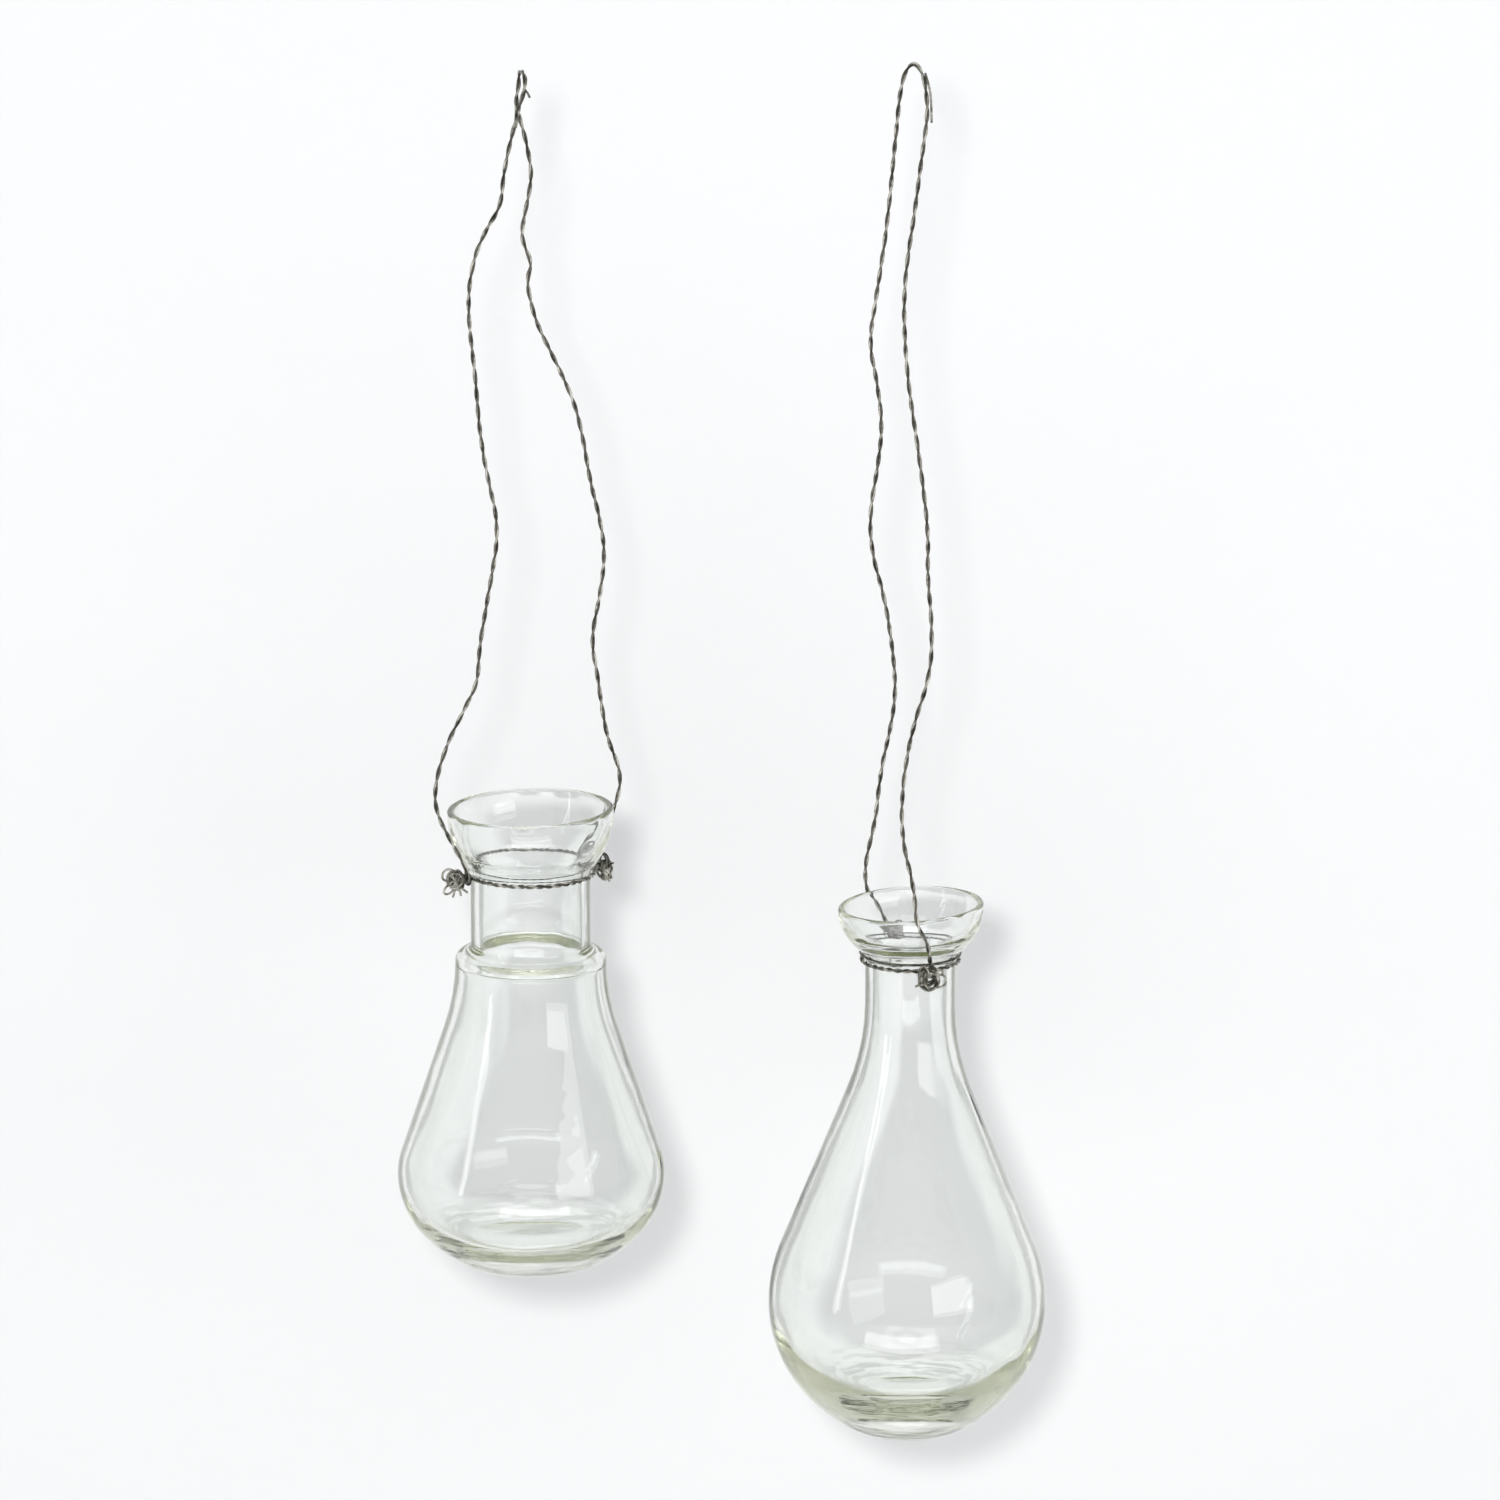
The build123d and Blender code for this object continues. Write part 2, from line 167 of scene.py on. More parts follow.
drop = SimpleNamespace(
    name="drop",
    seed=8,
    lip_radius=0.0205,
    lip=0.0019,
    cup_height=0.0160,
    throat_curve=0.0040,
    collar_tuck=0.0003,
    neck_radius=0.0127,
    neck_length=0.0130,
    shoulder_height=0.0,
    belly_radius=0.0395,
    flank_height=0.0880,
    flank_curve_shares=(0.42, 0.28),
    foot_radius=0.0154,
    bowl_height=0.0368,
    bowl_shares=(0.60, 0.29),
    wall=0.0023,
    base=0.0056,
    rim_tilt=radians(3),
    tie_rise=0.0019,
    hang=0.2505,
    hook_width=0.0078,
    hook_height=0.0095,
    hook_rise=0.0033,
    hook_offset=-0.0015,
    haunch_shares=(0.66, 0.69),
    reach=0.0018,
    knot_turn=radians(-75),
    front_sway=-0.0010,
    rear_sway=-0.0032,
    place_x=0.1088,
    throw_tilt=radians(58),
    knot_bends=(
        ((0.3, 0.4, 0.6), (0.5, 1.2, 0.7), (0.5, 1.5, 0.0), (0.4, 1.2, -0.6), (0.3, 0.5, -0.6)),
        ((0.2, -0.4, 0.5), (0.5, -1.1, 0.8), (0.5, -1.0, 1.5), (0.4, -0.4, 1.5), (0.3, -0.1, 0.7)),
        ((0.4, -0.5, -0.2), (0.6, -0.9, -0.1), (0.6, -1.5, -0.3)),
        ((0.3, 0.5, 0.7), (0.3, 0.9, 1.1), (0.4, 1.2, 0.9), (0.4, 1.1, 0.6)),
    ),
    knot_sags=(0.0014, 0.0),
    hook_ends=(
        (
            (0.0008, 0.0031, 0.0008),
            (0.0010, 0.0044, -0.0030),
            (0.0011, 0.0049, -0.0075),
            (0.0012, 0.0050, -0.0130),
        ),
    ),
)
drop.far_knot_bends = drop.knot_bends[:2]  # the same ears, without the tails

# Legs of the hangers, from the lip up: along the knot line and to its side in shares of lip radius and
# reach, then up in shares of the hook's height over the knots
flask_left_leg_shares = (
    (-1.10, 0.00, 0.090),
    (-1.09, 0.03, 0.125),
    (-0.94, 0.05, 0.172),
    (-0.76, 0.02, 0.212),
    (-0.60, -0.03, 0.250),
    (-0.60, -0.05, 0.290),
    (-0.47, -0.06, 0.368),
    (-0.33, -0.03, 0.440),
    (-0.45, 0.03, 0.512),
    (-0.51, 0.06, 0.566),
    (-0.55, 0.05, 0.630),
    (-0.66, 0.00, 0.716),
    (-0.62, -0.04, 0.772),
    (-0.47, -0.05, 0.812),
    (-0.27, -0.03, 0.840),
    (-0.22, 0.01, 0.880),
    (-0.13, -0.01, 0.925),
)
flask_right_leg_shares = (
    (1.07, 0.00, 0.088),
    (1.05, -0.03, 0.120),
    (0.91, -0.05, 0.155),
    (0.85, -0.03, 0.195),
    (0.82, 0.02, 0.242),
    (0.76, 0.05, 0.286),
    (0.88, 0.04, 0.345),
    (0.91, -0.01, 0.398),
    (0.82, -0.05, 0.446),
    (0.72, -0.06, 0.486),
    (0.66, -0.03, 0.538),
    (0.59, 0.02, 0.585),
    (0.40, 0.05, 0.636),
    (0.16, 0.05, 0.690),
    (0.07, 0.03, 0.726),
    (0.04, 0.01, 0.748),
    (0.09, -0.01, 0.767),
    (-0.03, -0.02, 0.795),
    (-0.03, -0.03, 0.815),
    (0.10, -0.01, 0.870),
    (0.08, 0.02, 0.900),
    (0.02, 0.02, 0.930),
)
drop_front_leg_shares = (
    (1.00, -0.22, 0.064),
    (0.97, -0.23, 0.104),
    (0.90, -0.38, 0.160),
    (0.85, -0.36, 0.220),
    (0.77, -0.21, 0.283),
    (0.71, 0.05, 0.343),
    (0.64, 0.08, 0.400),
    (0.59, 0.03, 0.452),
    (0.54, 0.06, 0.500),
    (0.44, -0.04, 0.587),
    (0.36, -0.16, 0.663),
    (0.29, -0.20, 0.735),
    (0.23, -0.16, 0.787),
    (0.16, -0.03, 0.847),
    (0.10, 0.08, 0.910),
    (0.05, 0.17, 0.955),
)
drop_rear_leg_shares = (
    (-1.00, -0.31, 0.060),
    (-0.97, -0.32, 0.094),
    (-0.92, -0.20, 0.140),
    (-0.87, -0.15, 0.200),
    (-0.78, 0.01, 0.272),
    (-0.73, 0.00, 0.320),
    (-0.65, -0.15, 0.400),
    (-0.58, -0.35, 0.455),
    (-0.53, -0.40, 0.503),
    (-0.48, -0.30, 0.560),
    (-0.43, -0.26, 0.607),
    (-0.37, -0.36, 0.660),
    (-0.33, -0.47, 0.700),
    (-0.26, -0.38, 0.760),
    (-0.19, -0.28, 0.830),
    (-0.10, -0.22, 0.910),
    (-0.05, -0.18, 0.960),
)

# Camera
camera_place = (0.06335, -2.042, 0.300)
camera_pitch = radians(13.5)
camera_roll = radians(0.26)
camera_field = 2 * atan2(1, 10)

# Stage
floor_height = -0.56
floor_size = 14.0
backdrop_size = 1.0
backdrop_place = (0.05, 0.17, -0.05)

# Lights
lamp_target = (0.05, 0, -0.28)
shadow_lamp_place = (-0.036, -2.042, 0.388)
shadow_lamp_size = 0.12
shadow_lamp_power = 25.0
# Name, place, width, height and how bright it looks in a reflection
softboxes = (
    ("strip_left", (-1.30, -0.75, 0.05), 0.13, 1.00, 3.2),
    ("window_right", (0.994, -1.166, -0.05), 0.92, 0.56, 2.2),
    ("low_card", (0.05, -0.46, -0.54), 0.55, 0.18, 2.4),
    ("overhead", (0.0, -0.3, 1.6), 1.2, 0.8, 2.0),
)
# Light goes round inside the thick bases more often than Blender follows it by default
all_bounces = 64
glass_bounces = 48


def place(vase):
    """From a vase's own axes to the model's."""
    return Matrix.Translation((vase.place_x, 0, -vase.hang)) @ Matrix.Rotation(vase.knot_turn, 4, "Z")


def make_piece(name, mesh, material, slot, body, *nodes):
    """A smooth object from a bmesh, which rides on a body in the place of CAD nodes."""
    bmesh.ops.recalc_face_normals(mesh, faces=mesh.faces)
    data = bpy.data.meshes.new(name)
    mesh.to_mesh(data)
    mesh.free()
    data.polygons.foreach_set("use_smooth", [True] * len(data.polygons))
    data.materials.append(material)
    piece = bpy.data.objects.new(name, data)
    bpy.context.scene.collection.objects.link(piece)
    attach(piece, body)
    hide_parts(*nodes)


class Outline:
    """A pen that draws a half section in (radius, height), heading straight down at first."""

    def __init__(self, radius, height):
        self.points = [Vector((radius, height))]
        self.heading = Vector((0, -1))

    @property
    def end(self):
        return self.points[-1]

    def arc(self, radius, turn):
        """An arc on from the end, outwards from the axis where turn is positive."""
        side = Vector((-self.heading.y, self.heading.x)) * copysign(radius, turn)
        centre = self.end + side
        steps = ceil(abs(turn) / arc_step)
        for step in range(1, steps + 1):
            self.points.append(centre - Matrix.Rotation(turn * step / steps, 2) @ side)
        self.heading = Matrix.Rotation(turn, 2) @ self.heading

    def arc_to(self, radius, height):
        """The arc that leaves the end without a kink and reaches a point."""
        chord = Vector((radius, height)) - self.end
        half_turn = chord.angle_signed(self.heading)
        self.arc(chord.length / (2 * sin(abs(half_turn))), 2 * half_turn)

    def line(self, length):
        start = self.end
        steps = ceil(length / line_step)
        for step in range(1, steps + 1):
            self.points.append(start + self.heading * (length * step / steps))

    def s_bend(self, across, down, end_radius):
        """Two arcs from upright to upright; the last one has end_radius."""
        turn = 2 * atan2(across, down)
        self.arc(down / sin(abs(turn)) - end_radius, turn)
        self.arc(end_radius, -turn)

    def flank(self, across, down, curve_shares):
        """An arc out, a straight slope and an arc back to upright."""
        largest = (across**2 + down**2) / (2 * across)
        first_radius, last_radius = [share * largest for share in curve_shares]
        both = first_radius + last_radius
        slope = asin(both / hypot(both - across, down)) - atan2(both - across, down)
        self.arc(first_radius, slope)
        self.line((down - both * sin(slope)) / cos(slope))
        self.arc(last_radius, -slope)


def outer_outline(vase):
    pen = Outline(vase.lip_radius, vase.cup_height - vase.lip / 2)
    pen.s_bend(vase.neck_radius - vase.lip_radius, pen.end.y + vase.collar_tuck, vase.throat_curve)
    pen.line(pen.end.y + vase.neck_length)
    if vase.shoulder_height:
        step = vase.shoulder_radius - vase.neck_radius
        pen.s_bend(step, vase.shoulder_height, vase.shoulder_curve)
    pen.flank(vase.belly_radius - pen.end.x, vase.flank_height, vase.flank_curve_shares)
    belly = pen.end.copy()
    down_share, across_share = vase.bowl_shares
    across = belly.x - vase.foot_radius
    pen.arc_to(belly.x - across_share * across, belly.y - down_share * vase.bowl_height)
    pen.arc_to(vase.foot_radius, belly.y - vase.bowl_height)
    pen.heading = Vector((-1, 0))
    pen.line(vase.foot_radius)
    return pen.points, belly


def inner_outline(vase, belly):
    pen = Outline(vase.lip_radius - vase.lip, vase.cup_height - vase.lip / 2)
    bore = vase.neck_radius - vase.wall
    down = pen.end.y + vase.collar_tuck - vase.wall / 2
    pen.s_bend(bore - pen.end.x, down, vase.throat_curve + vase.wall)
    if vase.shoulder_height:
        pen.line(pen.end.y + vase.neck_length + vase.wall)
        step = vase.shoulder_radius - vase.neck_radius
        pen.s_bend(step, vase.shoulder_height, vase.shoulder_curve)
    else:
        pen.line(pen.end.y + vase.neck_length)
    pen.flank(belly.x - vase.wall - pen.end.x, pen.end.y - belly.y, vase.flank_curve_shares)
    depth = vase.bowl_height - vase.base
    side_radius = floor_curve_share * depth
    reach = pen.end.x - side_radius
    floor_radius = (reach**2 + depth**2 - side_radius**2) / (2 * (depth - side_radius))
    pen.arc(side_radius, -atan2(floor_radius - depth, reach))
    pen.arc_to(0, belly.y - depth)
    return pen.points


def lip_outline(vase):
    """The round edge of the cup, from inside to outside."""
    steps = ceil(pi / arc_step)
    centre = Vector((vase.lip_radius - vase.lip / 2, vase.cup_height - vase.lip / 2))
    turns = [pi * (1 - step / steps) for step in range(1, steps)]
    return [centre + Vector((cos(turn), sin(turn))) * (vase.lip / 2) for turn in turns]


def blown(vase, radius, height, angle, inside):
    """A point of the glass, with the uneven roundness, wall and rim of hand-blown work."""
    around = Vector((cos(angle), sin(angle), height / (2 * vase.belly_radius)))
    swell = 1 + roundness * noise.noise(around * roundness_scale + Vector((vase.seed, 0, 0)))
    wave = ripple * noise.noise(around * ripple_scale + Vector((0, vase.seed, 0))) if inside else 0
    lift = max(0, height / vase.cup_height) ** 2 * radius * sin(vase.rim_tilt)
    reach = radius * swell + wave
    return Vector((reach * cos(angle), reach * sin(angle), height + lift * cos(angle + vase.knot_turn)))


def ease(value, start, full):
    """How far value has come from start to full, held to 0 and 1."""
    return min(max((value - start) / (full - start), 0), 1)


def painted_edge_shade(vase, upright, height, inside):
    """How dark the painted shade makes the glass edge on: most on upright walls, less in the cup and inside,
    not at the lip.
    """
    if height > vase.cup_height - 2 * vase.lip:
        return 0.0
    share = ease(upright, *line_upright)
    if height > 0:
        share *= cup_line
    if inside:
        share *= inner_line
    return share


def line_start(radius):
    """How far a round wall has turned edge on, from 0 to 1, where the painted dark shade line along its side
    starts.
    """
    share = max(0, 1 - line_width / radius)
    return 1 - sqrt(1 - share**2)


def glass_mesh(vase):
    outer, belly = outer_outline(vase)
    inner = inner_outline(vase, belly)
    outline = [(point, True) for point in reversed(inner)]
    outline += [(point, False) for point in lip_outline(vase) + outer]
    mesh = bmesh.new()
    line = mesh.verts.layers.float.new("line")
    start = mesh.verts.layers.float.new("start")
    low = mesh.verts.layers.float.new("low")
    angles = [tau * step / segments for step in range(segments)]
    to_model = place(vase)
    rings = []
    for (before, _), (point, inside), (after, _) in zip(outline, outline[1:], outline[2:]):
        ring = [to_model @ blown(vase, point.x, point.y, angle, inside) for angle in angles]
        rings.append([mesh.verts.new(corner) for corner in ring])
        upright = abs((after - before).normalized().y)
        depth = (belly.y - point.y) / vase.bowl_height
        for corner in rings[-1]:
            # Painted shade: how strong the painted dark edge line is, and where it starts; along the foot it
            # is painted the same.
            corner[line] = painted_edge_shade(vase, upright, point.y, inside)
            corner[start] = line_start(point.x)
            # The outside of the base takes the streaks' bumps and their painted shade.
            corner[low] = 0.0 if inside else upright * ease(depth, *streak_depths)
            if not inside and depth > foot_depth:
                corner[line] = foot_line
                corner[start] = foot_start
    for lower, upper in zip(rings, rings[1:]):
        for step in range(segments):
            after = (step + 1) % segments
            mesh.faces.new((lower[step], lower[after], upper[after], upper[step]))
    for (point, _), ring in ((outline[0], rings[0]), (outline[-1], rings[-1])):
        pole = mesh.verts.new(to_model @ Vector((0, 0, point.y)))
        for step in range(segments):
            mesh.faces.new((pole, ring[step], ring[(step + 1) % segments]))
    return mesh


def smooth_line(corners):
    """Points along the smooth curve that a route's corners control."""
    curve = bpy.data.curves.new("route", "CURVE")
    curve.dimensions = "3D"
    curve.resolution_u = route_steps
    spline = curve.splines.new("NURBS")
    spline.points.add(len(corners) - 1)
    for point, corner in zip(spline.points, corners):
        point.co = (*corner, 1)
    spline.order_u = 3
    spline.use_endpoint_u = True
    holder = bpy.data.objects.new("route", curve)
    line = bpy.data.meshes.new_from_object(holder)
    points = [vertex.co.copy() for vertex in line.vertices]
    bpy.data.objects.remove(holder)
    bpy.data.curves.remove(curve)
    bpy.data.meshes.remove(line)
    return points


def crossways(points):
    """Two directions across a line at each of its points, carried along without twist."""
    across = (points[1] - points[0]).orthogonal()
    pairs = []
    for index in range(len(points)):
        before = points[max(index - 1, 0)]
        after = points[min(index + 1, len(points) - 1)]
        along = (after - before).normalized()
        across = (across - along * across.dot(along)).normalized()
        pairs.append((across, along.cross(across)))
    return pairs


def new_wire():
    """An empty mesh for strands, with room for each one's painted highlight or painted shade."""
    mesh = bmesh.new()
    mesh.verts.layers.float.new("painted_light")
    return mesh


def add_strand(mesh, points, painted_light):
    """A round strand along points, cut square at both ends."""
    # Every corner carries the strand's painted highlight or painted shade.
    layer = mesh.verts.layers.float["painted_light"]
    turns = [tau * step / tube_sides for step in range(tube_sides)]
    rings = []
    for point, (across, aside) in zip(points, crossways(points)):
        corners = [point + (across * cos(turn) + aside * sin(turn)) * (strand / 2) for turn in turns]
        rings.append([mesh.verts.new(corner) for corner in corners])
        for corner in rings[-1]:
            corner[layer] = painted_light
    for lower, upper in zip(rings, rings[1:]):
        for step in range(tube_sides):
            after = (step + 1) % tube_sides
            mesh.faces.new((lower[step], lower[after], upper[after], upper[step]))
    mesh.faces.new(rings[0])
    mesh.faces.new(rings[-1])


def twisted(points, seed, lay, closed=False):
    """The lines of two strands laid round a wire's centre line, unevenly as by hand."""
    turns = [0.0]
    passed = 0.0
    for last, point in zip(points, points[1:]):
        step = (point - last).length
        passed += step
        unevenness = lay_spread * noise.noise((passed / (lay_patch * lay), seed, 0))
        turns.append(turns[-1] + tau * step / lay * (1 + unevenness))
    stretch = pi * round(turns[-1] / pi) / turns[-1] if closed else 1
    lines = ([], [])
    for point, turn, (across, aside) in zip(points, turns, crossways(points)):
        offset = (across * cos(turn * stretch) + aside * sin(turn * stretch)) * (strand / 2)
        lines[0].append(point + offset)
        lines[1].append(point - offset)
    return lines


def ring_radius(vase, thickness, rise):
    """Radius of a wire ring in the throat under a cup, clear of the glass."""
    room = vase.throat_curve - thickness / 2 - seat_clearance
    return vase.neck_radius + vase.throat_curve - sqrt(room**2 - (vase.collar_tuck + rise) ** 2)


def eye_place(vase):
    return ring_radius(vase, wire, 0) + wire + side_clearance


def knot_start(vase):
    return eye_place(vase) + wire / 2 + side_clearance + strand / 2


def knot_length():
    return knot_turns * (strand + knot_gap)


def hook_lean(vase):
    """From a vase's axis to its hook, in its own axes."""
    return Matrix.Rotation(-vase.knot_turn, 3, "Z") @ Vector((vase.hook_offset, 0, 0))


def leg(vase, side, eye_y, sway, shares):
    """A leg's corners: round its eye, straight up, out past the cup, then along its route."""
    eye_x = side * eye_place(vase)
    bulge = abs(eye_y) / cos(eye_step / 2)
    count = round(eye_wrap / eye_step)
    turns = [eye_step * step for step in range(count, 0, -1)]
    corners = [(eye_x, copysign(bulge, eye_y) * cos(turn), -bulge * sin(turn)) for turn in turns]
    corners += [(eye_x, eye_y, 0), (eye_x, eye_y, eye_rise)]
    corners.append((side * (vase.lip_radius + leg_clearance), sway, vase.cup_height / 2 + eye_rise))
    spread = vase.lip_radius + vase.reach
    lean = hook_lean(vase)
    for along, aside, up in shares:
        corners.append(Vector((along * spread, aside * spread, up * vase.hang)) + lean * up)
    return corners


def flask_route():
    eye_y = wire + running_clearance
    left = leg(flask, -1, -eye_y, -eye_y / 2, flask_left_leg_shares)
    right = leg(flask, 1, eye_y, eye_y / 2, flask_right_leg_shares)
    half = flask.hook_width / 2
    top = flask.hang + wire / 2
    crossing = top - flask.hook_height
    middle = top - flask.hook_height / 2
    twist = flask.hook_twist_share * half
    apart = flask.crossing_share * half
    loop = [(flask.crossing_shift, -apart, crossing), (twist, -half, middle), (twist, -half, top)]
    loop += [(-twist, half, top), (-twist, half, middle), (flask.crossing_shift, apart, crossing)]
    return left + [hook_lean(flask) + Vector(corner) for corner in loop] + right[::-1]


def drop_route():
    eye_y = wire + running_clearance
    front = leg(drop, 1, eye_y, drop.front_sway, drop_front_leg_shares)
    rear = leg(drop, -1, -eye_y, drop.rear_sway, drop_rear_leg_shares)
    half = drop.hook_width / 2
    point = drop.hang + wire / 2 + drop.hook_rise
    foot = point - drop.hook_height
    across_share, up_share = drop.haunch_shares
    haunch = foot + up_share * drop.hook_height
    arch = [(0, half, foot), (0, across_share * half, haunch), (0, 0, point)]
    arch += [(0, -across_share * half, haunch), (0, -half, foot)]
    return front + [hook_lean(drop) + Vector(corner) for corner in arch] + rear[::-1]


def hanger_mesh(vase, route):
    to_model = place(vase)
    points = [to_model @ point for point in smooth_line(route)]
    mesh = new_wire()
    # One strand painted lighter as highlight, the other darker as shade.
    for line, painted_light in zip(twisted(points, vase.seed, lay), strand_highlight_and_shade):
        add_strand(mesh, line, painted_light)
    for corners in vase.hook_ends:
        end = smooth_line([hook_lean(vase) + Vector((x, y, vase.hang + z)) for x, y, z in corners])
        # The loose ends are painted lighter, as highlight.
        add_strand(mesh, [to_model @ point for point in end], strand_highlight_and_shade[1])
    return mesh


def ring_points(radius, count, height=0.0):
    """A closed turn about a vase's axis, its last point on its first."""
    turns = [tau * step / count for step in range(count + 1)]
    return [Vector((radius * cos(turn), radius * sin(turn), height)) for turn in turns]


def collar_mesh(vase):
    """The ring in the throat and the two pigtails that leave it, of the same twisted wire."""
    radius = ring_radius(vase, wire, 0)
    reach = knot_start(vase) + knot_length() + strand
    to_model = place(vase)
    runs = [ring_points(radius, ring_steps)]
    shares = [step / pigtail_steps for step in range(pigtail_steps + 1)]
    for side in (-1, 1):
        runs.append([Vector((side * (radius + (reach - radius) * share), 0, 0)) for share in shares])
    mesh = new_wire()
    for index, run in enumerate(runs):
        points = [to_model @ point for point in run]
        # One strand painted lighter as highlight, the other darker as shade.
        for line, painted_light in zip(twisted(points, vase.seed + index, collar_lay, index == 0), strand_highlight_and_shade):
            add_strand(mesh, line, painted_light)
    return mesh


def tie_mesh(vase):
    """The thin single turn above the collar."""
    to_model = place(vase)
    radius = ring_radius(vase, strand, vase.tie_rise)
    turn = ring_points(radius, tie_steps, vase.tie_rise)
    mesh = new_wire()
    # The turn is painted darker, as shade.
    add_strand(mesh, [to_model @ point for point in turn], strand_highlight_and_shade[0])
    return mesh


def knot_core(vase):
    """A strand wound on the pigtail, swelling from it to the knot's full radius."""
    start = knot_start(vase)
    end_radius = wire / 2 + running_clearance + strand / 2
    swell = knot_radius - strand / 2 - end_radius
    line = []
    steps = knot_steps * knot_turns
    for step in range(steps + 1):
        share = step / steps
        turn = tau * knot_turns * share
        radius = end_radius + swell * sin(pi * share)
        line.append(Vector((start + share * knot_length(), radius * cos(turn), radius * sin(turn))))
    return line


def knot_throws(middle, tilt, seed):
    """Turns of strand thrown over the core every way."""
    line = []
    for step in range(knot_steps * knot_loops + 1):
        turn = step / knot_steps
        lean = tilt + throw_sway * sin(throw_sway_rate * turn)
        swing = Matrix.Rotation(tau * throw_step * turn, 3, "X") @ Matrix.Rotation(lean, 3, "Y")
        reach = throw_reach + throw_spread * noise.noise((throw_spread_rate * turn, seed, 0))
        around = swing @ Vector((cos(tau * turn), sin(tau * turn), 0)) * (reach * knot_radius)
        line.append(middle + Vector((knot_squash * around.x, around.y, around.z)))
    return line


def knot_mesh(vase, side, bends, sag, seed):
    """A knot: its core, the turns thrown over that, and the open ears and cut tails that stand out."""
    to_model = place(vase) @ Matrix.Rotation(0 if side > 0 else pi, 4, "Z")
    middle = Vector((knot_start(vase) + knot_length() / 2 + knot_shift, 0, -sag))
    lines = [knot_core(vase), knot_throws(middle, vase.throw_tilt, seed)]
    lines += [smooth_line([middle + Vector(corner) * knot_radius for corner in bend]) for bend in bends]
    mesh = new_wire()
    for index, line in enumerate(lines):
        # The core, under the thrown turns, is painted darker as shade; the turns, ears and tails over it are
        # painted lighter as highlight.
        add_strand(mesh, [to_model @ point for point in line], strand_highlight_and_shade[min(index, 1)])
    return mesh


def new_material(name):
    """A node material and its principled shader."""
    material = bpy.data.materials.new(name)
    material.use_nodes = True
    return material, material.node_tree.nodes["Principled BSDF"]


def add_ramp(nodes, links, value, stops):
    """A colour ramp on a value, from its (position, colour) stops."""
    ramp = nodes.new("ShaderNodeValToRGB")
    elements = ramp.color_ramp.elements
    elements.remove(elements[-1])
    elements[0].position, elements[0].color = stops[0]
    for position, colour in stops[1:]:
        elements.new(position).color = colour
    links.new(value, ramp.inputs["Fac"])
    return ramp


def add_noise(nodes, links, where, scale, detail):
    """A noise texture in the object's own coordinates, stretched by a scale for each axis."""
    stretch = nodes.new("ShaderNodeMapping")
    stretch.inputs["Scale"].default_value = scale
    links.new(where.outputs["Object"], stretch.inputs["Vector"])
    texture = nodes.new("ShaderNodeTexNoise")
    texture.inputs["Scale"].default_value = 1.0
    texture.inputs["Detail"].default_value = detail
    links.new(stretch.outputs["Vector"], texture.inputs["Vector"])
    return texture


